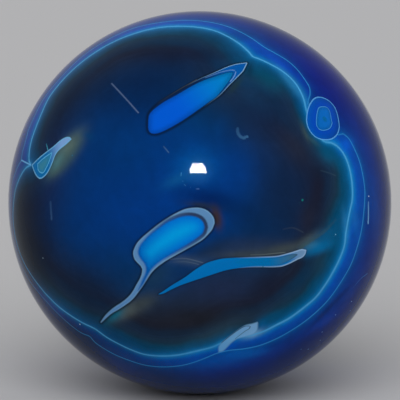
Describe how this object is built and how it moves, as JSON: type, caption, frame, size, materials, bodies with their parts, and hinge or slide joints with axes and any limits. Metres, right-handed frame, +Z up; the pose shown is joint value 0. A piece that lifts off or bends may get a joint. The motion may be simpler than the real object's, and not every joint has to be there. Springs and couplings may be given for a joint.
{
  "type": "agate sphere",
  "caption": "Solid polished ball of blue banded agate, an ornament that rests in a ring stand.",
  "frame": {"origin": "centre of the ball", "axes": "+Z up as it sits in its stand, -Y towards the viewer who sees the closed band and the eye, +X to that viewer's right"},
  "size_m": [0.06, 0.06, 0.06],
  "materials": {
    "agate": "polished"
  },
  "bodies": {
    "root": {"agate_sphere": "agate"}
  },
  "joints": []
}
